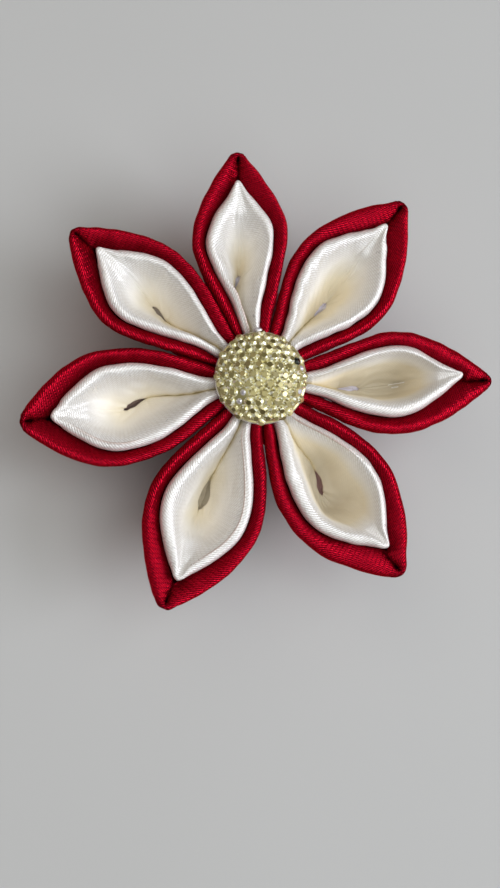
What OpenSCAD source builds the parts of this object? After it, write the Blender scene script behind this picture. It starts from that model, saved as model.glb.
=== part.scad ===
// Kanzashi hairpin: a flower of seven pointed petals, each folded from a square of red satin
// ribbon with a smaller cream one inside it, round a stone-covered cabochon, on a flat hairpin.
// Millimetres, +Z up. The origin is on the surface that the flower lies on, below its middle.

/* [Petals] */
// From the middle of the flower to the tip of a red petal
petal_reach = 35; // [33:0.5:40]
// From the middle of the flower to the tip of a cream petal
cream_reach = 30.7; // [29.5:0.1:31.2]
// Half the width of a red petal where it is widest
petal_half_width = 8; // [7.2:0.1:8.6]
// From the middle of the flower to where the petals are widest
widest_at = 20; // [18:0.5:22]
// Height of the rims above the lower edges of the petals
petal_height = 12; // [9:0.5:15]
// How much lower the rims are at the pinched root
root_dip = 1.5; // [0:0.1:2.5]
// From the middle of the flower to the pinched root of a red petal
root_at = 3.4; // [3:0.1:4]

/* [Ribbon] */
// Radius of the rolled rims
rim_radius = 0.95; // [0.8:0.05:1.05]
// Thickness of the doubled ribbon below the rims
wall = 1; // [0.6:0.05:1.1]
// Space between the walls where a petal is pressed together
fold_gap = 0.12; // [0.1:0.02:0.2]
// Space between a cream petal and the red one round it
layer_gap = 0.18; // [0.14:0.02:0.26]
// Space between neighbouring red petals
neighbour_gap = 0.2; // [0.16:0.02:0.3]
// How much higher the lower edges of the cream petals are
cream_rise = 0.55; // [0.5:0.05:1]

/* [Slit] */
// From the middle of the flower to the near end of the slit in a cream petal
slit_from = 15.6; // [15:0.1:16.4]
// From the middle of the flower to the far end of the slit
slit_to = 19.4; // [18.5:0.1:20]
// Width of the slit at its middle
slit_width = 1; // [0.4:0.1:1.4]

/* [Cabochon] */
// Diameter of the cabochon
cabochon_d = 13.6; // [12:0.2:15]
// Height of its clear edge
edge_height = 0.8; // [0.5:0.1:1.2]
// Height of the dome above the edge
dome_height = 3; // [2:0.1:4]
// Diameter of a stone on the dome
stone_d = 1.5; // [1.2:0.05:1.7]
// How far a stone stands out of the dome
stone_height = 0.4; // [0.25:0.05:0.6]
// Space between the cabochon and the rims below it
seat_gap = 0.12; // [0.1:0.02:0.3]

/* [Hairpin] */
// Length of the hairpin
pin_length = 42; // [32:1:44]
// Width of its strip
pin_width = 7; // [5:0.5:8]
// Thickness of its strip
pin_thickness = 1; // [0.8:0.1:1.3]
// Height of the space for hair between its legs
hair_gap = 2; // [1.5:0.1:3]
// Diameter of the glue pad on top
pad_d = 15; // [12:0.5:18]
// Thickness of the glue pad
pad_thickness = 0.6; // [0.5:0.1:1]
// Direction of the hairpin, in degrees from +X
pin_turn = 80; // [70:1:90]
// How far its middle lies behind the middle of the flower
pin_shift = 4; // [2:0.5:5]

/* [Hidden] */
// Each row is a petal: its place, its direction in degrees, the shares of its reach and of its left
// and right half widths, the direction of its border with the next petal, the shares of the half
// width by which its slit and its cream tip lie to the left of its middle line, and the share of
// the slit's distance from the middle
PLACE = 0;
TURN = 1;
REACH = 2;
LEFT = 3;
RIGHT = 4;
BORDER = 5;
SLIT = 6;
TIP = 7;
SLIT_OUT = 8;
PETALS = [
  ["right",           1, 1.01, 0.90, 1.01,    23,  0.00,  0.08, 0.94],
  ["upper_right",    51, 1.00, 1.00, 1.04,    78, -0.10,  0.00, 1.00],
  ["top",            96, 0.96, 1.03, 0.86,   118,  0.02,  0.05, 0.92],
  ["upper_left",  143.5, 0.98, 0.98, 0.88, 165.5, -0.09, -0.04, 1.00],
  ["left",          192, 1.00, 1.07, 1.02,   221, -0.09, -0.06, 1.00],
  ["lower_left",    247, 1.03, 1.06, 1.05,   274,  0.02,  0.00, 1.02],
  ["lower_right", 306.5, 1.01, 1.01, 1.12,   333,  0.06,  0.06, 1.04]
];
RED = 0;
CREAM = 1;

// Sections along each side of a petal, and levels down its wall
sections = 13;
levels = [0, 0.35, 0.7, 1];
// Exponents of the outline towards the tip, of the cream rim's closing there, of the soft corner at
// the border, of the slit's ends, and of the wall's belly at the sides and at the tip
tip_power = 0.85;
cream_tip_power = 3;
border_softness = 10;
slit_power = 0.8;
side_belly = 1.7;
keel_belly = 1.15;
// The wall's belly changes past this share of the way from the root to the tip
belly_from = 0.6;
// Angle through which the outline curves back from its widest place to the root
root_curve = 50;
// The outline's slope is measured over this length, and taken as no steeper than this
slope_step = 0.2;
steepest = 1.35;
// Distances from the middle: past the first the line that a petal closes on leaves the border's
// middle, and past the second the sections lean towards the slit
keel_from = 8;
lean_from = 12;
// Length over which the rims rise from the root
dip_length = 10;
// The share of the depth at which the walls meet at the root
root_meeting = 0.3;
// Half the thickness of a blunt tip, and how far before it the side sections end
tip_radius = 0.5;
tip_step = 0.8;
// The space between the layers below the rims
wall_gap = 2 * layer_gap;
// The cream root ends this far outside the red one
cream_root_step = 1.4;
// How far the dome stands in from its edge, and its rings of facets
dome_inset = 0.3;
dome_rings = 8;
// Shares of a stone's diameter: its pitch, its table, and how far in from the dome's rim it stands
stone_pitch = 1.04;
stone_table = 0.55;
stone_inset = 0.35;
// Share of a stone's height in which its sides stand straight
stone_girdle = 0.35;
// All the stones are turned by this angle
stone_turn = 7;

pin_height = 2 * pin_thickness + hair_gap;
petal_floor = pin_height + pad_thickness + seat_gap;
rim_top = petal_floor + petal_height;
cabochon_floor = rim_height(RED, cabochon_d / 2) + seat_gap;
// The dome is a cap of a ball, on a low round edge
dome_r = cabochon_d / 2 - dome_inset;
ball_r = (dome_r * dome_r + dome_height * dome_height) / (2 * dome_height);
ball_z = cabochon_floor + edge_height + dome_height - ball_r;

RED_NODES = [for (p = PETALS) str("petal_", p[PLACE], "_red")];
CREAM_NODES = [for (p = PETALS) str("petal_", p[PLACE], "_cream")];

function mix(a, b, share) = a + (b - a) * share;
function held(x) = min(1, max(0, x));
function smooth(x) = held(x) * held(x) * (3 - 2 * held(x));
function soft_min(a, b) =
  pow(pow(a, -border_softness) + pow(b, -border_softness), -1 / border_softness);
function unit(v) = v / max(norm(v), 0.000001);

function slit_near(k) = slit_from * PETALS[k][SLIT_OUT];
function slit_far(k) = slit_to * PETALS[k][SLIT_OUT];
function reach(p, layer) = (layer == RED ? petal_reach : cream_reach) * p[REACH];
function root(layer) = root_at + (layer == RED ? 0 : cream_root_step);
function before(k) = (k + len(PETALS) - 1) % len(PETALS);

// The angle from a petal's middle line to its border, on its left (side 1) or right (side -1)
function sector(k, side) =
  let (away = side > 0 ? PETALS[k][BORDER] - PETALS[k][TURN]
                       : PETALS[k][TURN] - PETALS[before(k)][BORDER])
  (away + 360) % 360;

// The line that a petal closes on: from the middle of its root through its slit to its tip
function keel(k, layer, x) =
  let (p = PETALS[k], slit_at = (slit_near(k) + slit_far(k)) / 2,
       slit_shift = p[SLIT] * petal_half_width,
       tip_shift = (layer == RED ? 0 : p[TIP]) * petal_half_width,
       root_turn = (sector(k, 1) - sector(k, -1)) / 2,
       near = smooth((x - keel_from) / (slit_at - keel_from)),
       far = smooth((x - slit_at) / (reach(p, layer) - slit_at)))
  x < slit_at ? mix(x * tan(root_turn), slit_shift, near) : mix(slit_shift, tip_shift, far);

// The border with the neighbour and the outline of a red petal, as distances from its middle line
function border(k, x, side) = x * tan(sector(k, side)) - neighbour_gap / 2;
function outline(k, x, side) =
  let (p = PETALS[k], width = petal_half_width * (side > 0 ? p[LEFT] : p[RIGHT]),
       out = held((x - widest_at) / (reach(p, RED) + tip_radius - widest_at)),
       in = held((widest_at - x) / (widest_at - root_at)),
       belly = width * pow(cos(90 * out), tip_power) * cos(root_curve * in))
  soft_min(max(belly, 0.01), border(k, x, side));
// How much wider a strip along the outline is when it is measured across the petal
function slant(k, x, side) =
  let (rise = outline(k, x + slope_step, side) - outline(k, x - slope_step, side))
  min(steepest, norm([1, rise / (2 * slope_step)]));

// The rolls thin out where they share the pinched root or close the tip
function red_room(k, x, side) = outline(k, x, side) - side * keel(k, RED, x);
function red_roll(k, x, side) =
  let (shared = border(k, x, side) - side * keel(k, RED, x) - fold_gap / 2)
  min(rim_radius, (shared / slant(k, x, side) - layer_gap) / 4,
      (red_room(k, x, side) - fold_gap / 2) / 2 / slant(k, x, side));
function cream_room(k, x, side) =
  let (end = reach(PETALS[k], CREAM) + tip_radius / 2,
       out = held((x - widest_at) / (end - widest_at)),
       rim = (2 * red_roll(k, x, side) + layer_gap) * slant(k, x, side),
       inside = outline(k, x, side) - rim - side * keel(k, CREAM, x))
  inside * sqrt(1 - pow(out, cream_tip_power));
function room(k, layer, x, side) =
  layer == RED ? red_room(k, x, side) : cream_room(k, x, side);
function roll(k, layer, x, side) =
  layer == RED ? red_roll(k, x, side)
    : min(rim_radius, (cream_room(k, x, side) - fold_gap / 2) / 2 / slant(k, x, side));

function slit_half(k, x) =
  let (along = (x - slit_near(k)) / (slit_far(k) - slit_near(k)))
  along <= 0 || along >= 1 ? 0 : slit_width / 2 * pow(sin(180 * along), slit_power);

// How far from the keel line the middle of the wall ends at the bottom
function foot(k, layer, x, half, spine) =
  let (cream_foot = half + fold_gap / 2 + slit_half(k, x))
  min(spine, layer == CREAM ? cream_foot : cream_foot + 2 * half + wall_gap);

// The share of the depth at which the walls of a petal meet
function meeting(k, x) = mix(root_meeting, 1, held((x - keel_from) / (slit_near(k) - keel_from)));
function keel_end(k, layer) = slit_far(k) + (layer == CREAM ? 0 : wall + wall_gap);
// Where below a section's rim its foot lies: the same near the root, drawn in to the slit beyond
function foot_x(k, layer, x, x_end) =
  let (end = keel_end(k, layer), t = held((x - lean_from) / (x_end - lean_from)),
       pull = (x_end - lean_from) / (end - lean_from))
  x < lean_from ? x : mix(lean_from, end, 1 - pow(1 - t, pull));
function rim_height(layer, x) =
  rim_top - root_dip * (1 - smooth((x - root_at) / dip_length)) - (layer == RED ? 0 : layer_gap);
function bottom(layer) = petal_floor + (layer == RED ? 0 : cream_rise);

// One section of the wall's middle surface, as points from the middle of the roll down to the foot
function section_line(k, layer, x, side, share) =
  let (p = PETALS[k], x_end = reach(p, layer) - tip_radius,
       r = side == 0 ? tip_radius : roll(k, layer, x, side),
       half = min(wall / 2, r),
       spine = side == 0 ? 0 : room(k, layer, x, side) - r * slant(k, x, side),
       x_foot = side == 0 && share == 1 ? keel_end(k, layer) + half : foot_x(k, layer, x, x_end),
       end = side == 0 ? 0 : foot(k, layer, x_foot, half, spine),
       top = [x, keel(k, layer, x) + side * spine],
       low = [x_foot, keel(k, layer, x_foot) + side * end],
       z_top = rim_height(layer, x) - r,
       meet = meeting(k, x),
       belly = mix(side_belly, keel_belly, smooth((share - belly_from) / (1 - belly_from))))
  [for (q = levels)
    let (f = pow(min(1, q / meet), belly), at = mix(top, low, f))
    [at[0], at[1], mix(z_top, bottom(layer), q), q == 0 ? r : half]];

// The sections go from the root along the left side to the tip and back along the right side
function all_sections(k, layer) =
  let (x0 = root(layer), end = reach(PETALS[k], layer),
       place = function(i) mix(x0, end - tip_step, sin(90 * i / (sections - 1))))
  concat(
    [section_line(k, layer, x0, 0, 0)],
    [for (i = [0 : sections - 1]) section_line(k, layer, place(i), 1, i / sections)],
    [section_line(k, layer, end - tip_radius, 0, 1)],
    [for (i = [sections - 1 : -1 : 0]) section_line(k, layer, place(i), -1, i / sections)]);

function point(line, j) = [line[j][0], line[j][1], line[j][2]];
// The outward normal of the middle surface at section i, level j
function normal(lines, i, j) =
  let (n = len(lines), last = len(levels) - 1,
       along = point(lines[(i + 1) % n], j) - point(lines[(i + n - 1) % n], j),
       down = point(lines[i], min(j + 1, last)) - point(lines[i], max(j - 1, 0)),
       level = j == 0 || j == last)
  unit(level ? [-along[1], along[0], 0] : cross(along, down));

// The closed ring of a section: over the roll, down the outside and up the inside
function ring(lines, i) =
  let (last = len(levels) - 1, up = [0, 0, 1], n0 = normal(lines, i, 0),
       top = point(lines[i], 0), r = lines[i][0][3],
       wall_point = function(j, way)
         point(lines[i], j) + way * lines[i][j][3] * normal(lines, i, j))
  concat(
    [for (a = [120, 60, 0]) top + r * (cos(a) * n0 + sin(a) * up)],
    [for (j = [1 : last]) wall_point(j, 1)],
    [for (j = [last : -1 : 1]) wall_point(j, -1)],
    [top - r * n0]);

module petal_layer(k, layer) {
  lines = all_sections(k, layer);
  rings = [for (i = [0 : len(lines) - 1]) ring(lines, i)];
  n = len(rings);
  m = len(rings[0]);
  points = [for (r = rings) for (p = r) p];
  // The facets of the right side mirror those of the left
  faces = [for (i = [0 : n - 1]) for (j = [0 : m - 1])
    let (a = i * m + j, b = i * m + (j + 1) % m,
         c = ((i + 1) % n) * m + (j + 1) % m, d = ((i + 1) % n) * m + j)
    each i < n / 2 ? [[a, b, c], [a, c, d]] : [[a, b, d], [b, c, d]]];
  rotate([0, 0, PETALS[k][TURN]]) polyhedron(points, faces, convexity = 8);
}

module red_petal(k) {
  color("#9e0722") petal_layer(k, RED);
}

module cream_petal(k) {
  color("#efe9dc") petal_layer(k, CREAM);
}

// A stone with eight sides and a table, standing on the dome and sunk into it by its height
module stone(d, h) {
  hull() {
    translate([0, 0, -h]) cylinder(d = d, h = h * (1 + stone_girdle), $fn = 8);
    cylinder(d = stone_table * d, h = h, $fn = 8);
  }
}

module dome() {
  cap = asin(dome_r / ball_r);
  profile = concat(
    [[0, cabochon_floor], [cabochon_d / 2, cabochon_floor],
     [cabochon_d / 2, cabochon_floor + edge_height]],
    [for (i = [0 : dome_rings]) let (a = cap * (1 - i / dome_rings))
      [ball_r * sin(a), ball_z + ball_r * cos(a)]]);
  rotate_extrude($fn = 40) polygon(profile);
}

module cabochon() {
  pitch = stone_d * stone_pitch;
  rows = ceil(dome_r / pitch) + 1;
  color("#c9bd7c") union() {
    dome();
    for (a = [-rows : rows]) for (b = [-rows : rows]) {
      x = (a + b / 2) * pitch;
      y = b * pitch * sin(60);
      out = norm([x, y]);
      if (out < dome_r - stone_d * stone_inset)
        translate([0, 0, ball_z]) rotate([0, asin(out / ball_r), atan2(y, x)])
          translate([0, 0, ball_r]) rotate([0, 0, stone_turn]) stone(stone_d, stone_height);
    }
  }
}

// A strip bent back on itself, with a round glue pad on its upper leg
module hairpin() {
  half = pin_length / 2;
  bend_r = pin_height / 2;
  color("#b9bcc2") rotate([0, 0, pin_turn]) union() {
    translate([-pin_shift, pin_width / 2, 0]) rotate([90, 0, 0])
      linear_extrude(pin_width) union() {
        translate([bend_r - half, 0]) square([pin_length - bend_r, pin_thickness]);
        translate([bend_r - half, pin_height - pin_thickness])
          square([pin_length - bend_r - 2 * pin_thickness, pin_thickness]);
        difference() {
          translate([bend_r - half, bend_r]) circle(r = bend_r, $fn = 48);
          translate([bend_r - half, bend_r]) circle(r = bend_r - pin_thickness, $fn = 48);
          translate([bend_r - half, -1]) square([bend_r + 1, pin_height + 2]);
        }
      }
    translate([0, 0, pin_height - pin_thickness / 2])
      cylinder(d = pad_d, h = pad_thickness + pin_thickness / 2, $fn = 64);
  }
}

for (k = [0 : len(PETALS) - 1]) {
  red_petal(k);
  cream_petal(k);
}
cabochon();
hairpin();
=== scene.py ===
"""A kanzashi hairpin: a flower of folded satin ribbon petals round a cabochon of small faceted stones."""
import math
from collections import namedtuple

import bpy
import numpy as np
from mathutils import Matrix, Vector


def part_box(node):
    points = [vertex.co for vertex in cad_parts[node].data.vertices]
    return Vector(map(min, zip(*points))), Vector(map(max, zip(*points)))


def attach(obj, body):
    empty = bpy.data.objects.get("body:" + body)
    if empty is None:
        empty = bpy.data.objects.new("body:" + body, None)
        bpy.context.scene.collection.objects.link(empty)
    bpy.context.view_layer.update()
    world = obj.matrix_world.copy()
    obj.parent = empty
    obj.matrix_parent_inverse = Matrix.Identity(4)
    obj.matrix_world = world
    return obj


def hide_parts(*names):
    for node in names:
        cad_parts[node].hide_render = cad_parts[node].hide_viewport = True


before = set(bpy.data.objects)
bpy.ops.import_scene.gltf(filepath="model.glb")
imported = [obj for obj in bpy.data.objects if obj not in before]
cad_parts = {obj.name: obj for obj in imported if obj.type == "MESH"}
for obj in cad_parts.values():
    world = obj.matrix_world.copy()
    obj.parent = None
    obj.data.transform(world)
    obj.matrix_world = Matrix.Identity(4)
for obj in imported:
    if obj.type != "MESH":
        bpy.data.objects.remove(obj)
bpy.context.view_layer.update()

MM = 0.001

# The petals, in millimetres from the middle of the flower: how far they reach, how wide they are, where
# the cream ones start to close, and where their pinched roots start
PETAL_REACH = 35.0
CREAM_REACH = 30.7
HALF_WIDTH = 8.0
CREAM_CLOSES_AT = 20.0
ROOT_AT = 3.4
CREAM_ROOT_STEP = 1.4
# How much lower the rims are at the root, and over what length
ROOT_DIP = 1.5
DIP_LENGTH = 10.0
# The rolled rims and doubled walls of the ribbon, and the spaces between folds, layers and petals
RIM_RADIUS = 0.9
WIDEST_RIM = 4.2
WALL = 1.0
FOLD_GAP = 0.06
LAYER_GAP = 0.18
SHOWN_GAP = 0.07
NEIGHBOUR_GAP = 0.2
CREAM_RISE = 0.55
# The roll at the very tip, and how far before the tip the two rims end
TIP_RADIUS = 0.5
TIP_STEP = 0.8
# Past the first the line that a petal closes on leaves the middle between its borders, past the second
# its sections lean towards the slit, and over the third the slit's own slope fades
KEEL_FROM = 8.0
LEAN_FROM = 12.0
SLANT_LENGTH = 4.0
# Exponents of the curves: towards the red and the cream tips, of the soft corner at a border, of the
# slit's ends and how far out it is widest, and of the walls' belly at the sides and at the tip
TIP_POWER = 0.85
CREAM_TIP_POWER = 2.0
BORDER_SOFTNESS = 10
SLIT_POWER = 0.8
SLIT_LEAN = 1.5
SIDE_BELLY = 1.7
KEEL_BELLY = 1.15
# The walls' belly changes past this share of the way from the root to the tip
BELLY_FROM = 0.6
# How far an outline curves back from its widest place to the root, and how far down the walls meet there
ROOT_CURVE = math.radians(50)
ROOT_MEETING = 0.3
# An outline's slope is measured this far to both sides, and taken as no steeper than this
SLOPE_STEP = 0.2
STEEPEST = 1.35
NARROWEST = 0.01

# What shows in the slits: a pale lilac floor, or painted shade that stands in for the shaded table under a
# slit, dark brown, grey, pale brown, or red-brown with painted red bounce light from the petals
PALE_SLIT_FLOOR = (0.74, 0.70, 0.80)
SLIT_SHADE = (0.15, 0.095, 0.08)
SLIT_SHADE_GREY = (0.30, 0.25, 0.21)
SLIT_SHADE_RED = (0.24, 0.13, 0.12)
SLIT_SHADE_PALE = (0.42, 0.36, 0.26)

# One row a petal, in degrees, millimetres and shares:
# place and turn are its name and its direction
# reach, left and right are the shares of its reach and of the half width on its left and right
# widest is where it is widest, and blunt is the exponent that its cream tip closes with
# pinch is how much narrower its cream ribbon is on its right
# border is the direction of its border with the next petal
# slit and tip are how far its slit and its cream tip lie to its left, as shares of the half width
# slope, near, far, width and shows are its slit's slope, two ends, width and colour
# valley is how deep the fold is that runs on from the slit towards the tip
# shoulders and floor are how full its shoulders and how round its floor are, on its left and right
# the next share is how fast the painted shade in its bowl deepens, and lip is how far the lip behind its tip
# falls
# ramp is how far behind the tip the ramp into the bowl starts and ends
# line is how far down the left cream rim the pressed line starts and ends, and how far in it lies
Petal = namedtuple("Petal", "place turn reach left right widest blunt pinch border slit tip "
                            "slope near far width shows valley shoulders floor stain lip ramp line")
PETALS = [
    Petal("right", 1, 1.01, 0.95, 1.03, 19.2, 0.60, 0.6, 23, -0.044, 0.12,
          0.0, 13.5, 16.9, 0.65, PALE_SLIT_FLOOR,
          0.0, (1.2, 2.2), (0.5, 0.8), 2.1, 1.3, (3.2, 8.6), (0, 0, 0)),
    Petal("upper_right", 51, 1.00, 1.01, 1.07, 18.6, 0.80, 0.0, 78, -0.112, 0.00,
          -0.05, 14.7, 17.6, 0.7, PALE_SLIT_FLOOR,
          0.4, (1.5, 1.5), (0.3, 0.3), 1.35, 2.0, (4.6, 12.6), (0, 0, 0)),
    Petal("top", 96, 0.96, 1.07, 0.92, 17.4, 0.76, 0.0, 120.5, 0.072, 0.05,
          -0.42, 15.0, 16.8, 0.6, PALE_SLIT_FLOOR,
          0.5, (1.6, 1.35), (0.1, 0.15), 0.9, 1.0, (4.0, 12.1), (15, 28, 0.1)),
    Petal("upper_left", 143.5, 0.98, 1.04, 0.92, 19.3, 0.70, 0.0, 165.5, -0.008, -0.04,
          -0.19, 16.0, 18.8, 0.5, SLIT_SHADE_GREY,
          0.2, (1.5, 1.5), (0.45, 0.45), 0.8, 1.1, (4.6, 10.8), (0, 0, 0)),
    Petal("left", 192, 1.00, 1.09, 1.01, 21.8, 0.60, 0.2, 221, -0.06, 0.0,
          0.40, 16.0, 19.5, 0.75, SLIT_SHADE,
          0.1, (1.6, 1.6), (0.5, 0.5), 0.8, 2.2, (4.4, 10.7), (1, 15, 0.1)),
    Petal("lower_left", 247, 1.03, 1.10, 1.08, 20.0, 0.56, 0.1, 274, 0.00, 0.03,
          0.06, 15.5, 20.3, 1.45, SLIT_SHADE_PALE,
          0.2, (1.6, 1.9), (0.45, 0.4), 0.9, 3.0, (5.4, 10.9), (0.5, 28, 0.5)),
    Petal("lower_right", 306.5, 1.01, 1.02, 1.17, 20.0, 0.62, 0.6, 333, -0.03, 0.09,
          -0.48, 16.1, 19.8, 0.95, SLIT_SHADE_RED,
          0.0, (1.3, 1.9), (0.6, 0.7), 2.3, 1.6, (3.4, 9.3), (13, 28, 0.0)),
]
RED = "red"
CREAM = "cream"

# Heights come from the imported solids, whose rims have six sides and so stand a little lower
SOLID_RIM = math.sin(math.radians(60))
LOWEST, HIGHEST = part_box("petal_right_red")
PETAL_FLOOR = LOWEST.z / MM
RIM_TOP = HIGHEST.z / MM + RIM_RADIUS * (1 - SOLID_RIM)


def mix(a, b, share):
    return a + (b - a) * share


def held(x):
    return np.clip(x, 0, 1)


def smooth(x):
    return held(x) ** 2 * (3 - 2 * held(x))


def eased(x, start, length):
    """Rises smoothly from 0 at start to 1 that length further on."""
    return smooth((x - start) / length)


def bell(distance, width):
    return np.exp(-(distance / width) ** 2)


def unit(v):
    return v / np.maximum(np.linalg.norm(v, axis=-1, keepdims=True), 1e-9)


def soft_min(a, b):
    """The smaller of two lengths, with a rounded corner where they are equal."""
    return (a ** -BORDER_SOFTNESS + b ** -BORDER_SOFTNESS) ** (-1 / BORDER_SOFTNESS)


def reach(petal, layer):
    return (PETAL_REACH if layer == RED else CREAM_REACH) * petal.reach


def sector(petal, side):
    """The angle from a petal's middle line to its border, on its left (side 1) or its right (-1)."""
    before = PETALS[PETALS.index(petal) - 1]
    away = petal.border - petal.turn if side > 0 else petal.turn - before.border
    return math.radians(away % 360)


def keel(petal, layer, x):
    """The line that a petal closes on: from the middle of its root through its slit to its tip."""
    slit_at = (petal.near + petal.far) / 2
    slit_shift = petal.slit * HALF_WIDTH
    tip_shift = 0 if layer == RED else petal.tip * HALF_WIDTH
    root_turn = (sector(petal, 1) - sector(petal, -1)) / 2
    to_slit = mix(x * math.tan(root_turn), slit_shift, eased(x, KEEL_FROM, slit_at - KEEL_FROM))
    to_tip = mix(slit_shift, tip_shift, eased(x, slit_at, reach(petal, layer) - slit_at))
    slanted = petal.slope * (x - slit_at) * bell(x - slit_at, SLANT_LENGTH)
    return np.where(x < slit_at, to_slit, to_tip) + slanted


def border(petal, x, side):
    """How far the border with the next petal lies from the middle line at x."""
    return x * math.tan(sector(petal, side)) - NEIGHBOUR_GAP / 2


def outline(petal, x, side):
    """Half the width of a red petal at x."""
    width = HALF_WIDTH * (petal.left if side > 0 else petal.right)
    out = held((x - petal.widest) / (reach(petal, RED) + TIP_RADIUS - petal.widest))
    inward = held((petal.widest - x) / (petal.widest - ROOT_AT))
    belly = width * np.cos(math.pi / 2 * out) ** TIP_POWER * np.cos(ROOT_CURVE * inward)
    return soft_min(np.maximum(belly, NARROWEST), border(petal, x, side))


def slant(petal, x, side):
    """How much wider a strip along the outline is when it is measured across the petal."""
    climb = outline(petal, x + SLOPE_STEP, side) - outline(petal, x - SLOPE_STEP, side)
    return np.minimum(STEEPEST, np.hypot(1, climb / (2 * SLOPE_STEP)))


def red_room(petal, x, side):
    """The distance from the keel line to the red outline."""
    return outline(petal, x, side) - side * keel(petal, RED, x)


def red_roll(petal, x, side):
    """The radius of the red rim, which is smaller where petals crowd or close."""
    shared = border(petal, x, side) - side * keel(petal, RED, x) - FOLD_GAP / 2
    own = (red_room(petal, x, side) - FOLD_GAP / 2) / 2 / slant(petal, x, side)
    return np.minimum(RIM_RADIUS, np.minimum((shared / slant(petal, x, side) - LAYER_GAP) / 4, own))


def cream_room(petal, x, side):
    """The distance from the keel line to the cream outline, inside the red rim."""
    end = reach(petal, CREAM) + TIP_RADIUS / 2
    out = held((x - CREAM_CLOSES_AT) / (end - CREAM_CLOSES_AT))
    rim = (2 * red_roll(petal, x, side) + LAYER_GAP) * slant(petal, x, side)
    inside = outline(petal, x, side) - rim - side * keel(petal, CREAM, x)
    if side < 0:
        inside = inside - petal.pinch * eased(x, KEEL_FROM, KEEL_FROM)
    return inside * (1 - out ** CREAM_TIP_POWER) ** petal.blunt


def room_and_roll(petal, layer, x, side):
    """The distance from the keel line to the rim's outer side, and the rim's radius."""
    if layer == RED:
        return red_room(petal, x, side), red_roll(petal, x, side)
    room = cream_room(petal, x, side)
    return room, np.minimum(RIM_RADIUS, (room - FOLD_GAP / 2) / 2 / slant(petal, x, side))


def slit_half(petal, x):
    """Half the width of the slit at x."""
    along = held((x - petal.near) / (petal.far - petal.near))
    return petal.width / 2 * np.sin(math.pi * along ** SLIT_LEAN) ** SLIT_POWER


def foot_x(x, x_end, foot_end):
    """Where below a section's rim its foot lies: drawn in towards the slit beyond LEAN_FROM."""
    share = held((x - LEAN_FROM) / (x_end - LEAN_FROM))
    pull = (x_end - LEAN_FROM) / (foot_end - LEAN_FROM)
    return np.where(x < LEAN_FROM, x, mix(LEAN_FROM, foot_end, 1 - (1 - share) ** pull))


def rim_height(layer, x):
    dip = ROOT_DIP * (1 - eased(x, ROOT_AT, DIP_LENGTH))
    return RIM_TOP - dip - (0 if layer == RED else LAYER_GAP)


# Points along a side while its shape is worked out, tries for a rim's width, and the sections and the
# points of the finished mesh
FINE = 600
RIM_TRIES = 211
SECTIONS = 440
CAP_POINTS = 9
WALL_POINTS = 22
BOWL_POINTS = 44
SLIT_POINTS = 4
# The number of the point on top of the rim in each section's ring
TOP_AT = WALL_POINTS + CAP_POINTS - 2
# A section of a petal: the middle of its rim, the rim's radius and half the wall, its foot on the
# outside and where its inner side ends, its share of the way to the tip, and how wide its rim shows
Section = namedtuple("Section", "x y roll half foot foot_y inner inner_y share wide")


def clear_width(petal, x, y, side):
    """How wide the red rim at (x, y) can be before it meets the cream petal or its own other side."""
    climb = np.gradient(y * side, x)
    lean = np.minimum(STEEPEST, np.hypot(1, climb))
    width = np.linspace(0, WIDEST_RIM, RIM_TRIES)[None, :]
    across = x[:, None] + (climb / lean)[:, None] * width
    red_keel = keel(petal, RED, across)
    free = side * y[:, None] - width / lean[:, None] - side * red_keel
    shift = side * (keel(petal, CREAM, across) - red_keel)
    cream = cream_room(petal, across, side) + shift + SHOWN_GAP * lean[:, None]
    met = free < np.where(across < reach(petal, CREAM), cream, FOLD_GAP / 2)
    return np.where(met.any(axis=1), width[0, np.argmax(met, axis=1)], WIDEST_RIM)


def rim_rows(petal, layer):
    """A petal's sections in rows that run from its root round the left side to the tip and back along
    the right side."""
    end = reach(petal, layer)
    x_end = end - TIP_RADIUS
    keel_end = petal.far + (0 if layer == CREAM else WALL + 2 * LAYER_GAP)
    root = ROOT_AT + (0 if layer == RED else CREAM_ROOT_STEP)
    x = mix(root, end - TIP_STEP, np.sin(np.linspace(0, math.pi / 2, FINE)))
    foot = foot_x(x, x_end, keel_end)
    inner = foot_x(x, x_end, petal.far)
    sides = []
    for side in (1, -1):
        room, roll = room_and_roll(petal, layer, x, side)
        spine = room - roll * slant(petal, x, side)
        half = np.minimum(WALL / 2, roll)
        open_half = FOLD_GAP / 2 + slit_half(petal, inner)
        apart = half + FOLD_GAP / 2 + slit_half(petal, foot)
        wide = 2 * roll
        if layer == RED:
            apart = apart + 2 * half + 2 * LAYER_GAP
            wide = np.maximum(wide, clear_width(petal, x, keel(petal, RED, x) + side * room, side))
        sides.append(np.stack(Section(
            x=x, y=keel(petal, layer, x) + side * spine, roll=roll, half=half,
            foot=foot, foot_y=keel(petal, layer, foot) + side * np.minimum(apart, spine),
            inner=inner, inner_y=keel(petal, layer, inner) + side * np.minimum(open_half, spine),
            share=np.linspace(0, 1, FINE), wide=wide), axis=1))
    tip = Section(
        x=x_end, y=keel(petal, layer, x_end), roll=TIP_RADIUS, half=TIP_RADIUS,
        foot=keel_end + TIP_RADIUS, foot_y=keel(petal, layer, keel_end),
        inner=petal.far, inner_y=keel(petal, layer, petal.far), share=1, wide=2 * TIP_RADIUS)
    middle = keel(petal, layer, root)
    start = Section(*sides[0][0])._replace(
        y=middle, foot_y=middle, inner_y=middle, roll=TIP_RADIUS, half=TIP_RADIUS)
    return np.concatenate([[start], sides[0], [tip], sides[1][::-1]])


def soften(rows, width):
    """Rounds off closed rows with a bell curve of that many rows."""
    at = np.fft.fftfreq(len(rows))
    weights = np.exp(-2 * (math.pi * width * at) ** 2)
    weights = weights.reshape([-1] + [1] * (rows.ndim - 1))
    return np.real(np.fft.ifft(np.fft.fft(rows, axis=0) * weights, axis=0))


def around(grid):
    """The difference between the sections after and before each section."""
    return np.roll(grid, -1, axis=0) - np.roll(grid, 1, axis=0)


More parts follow.
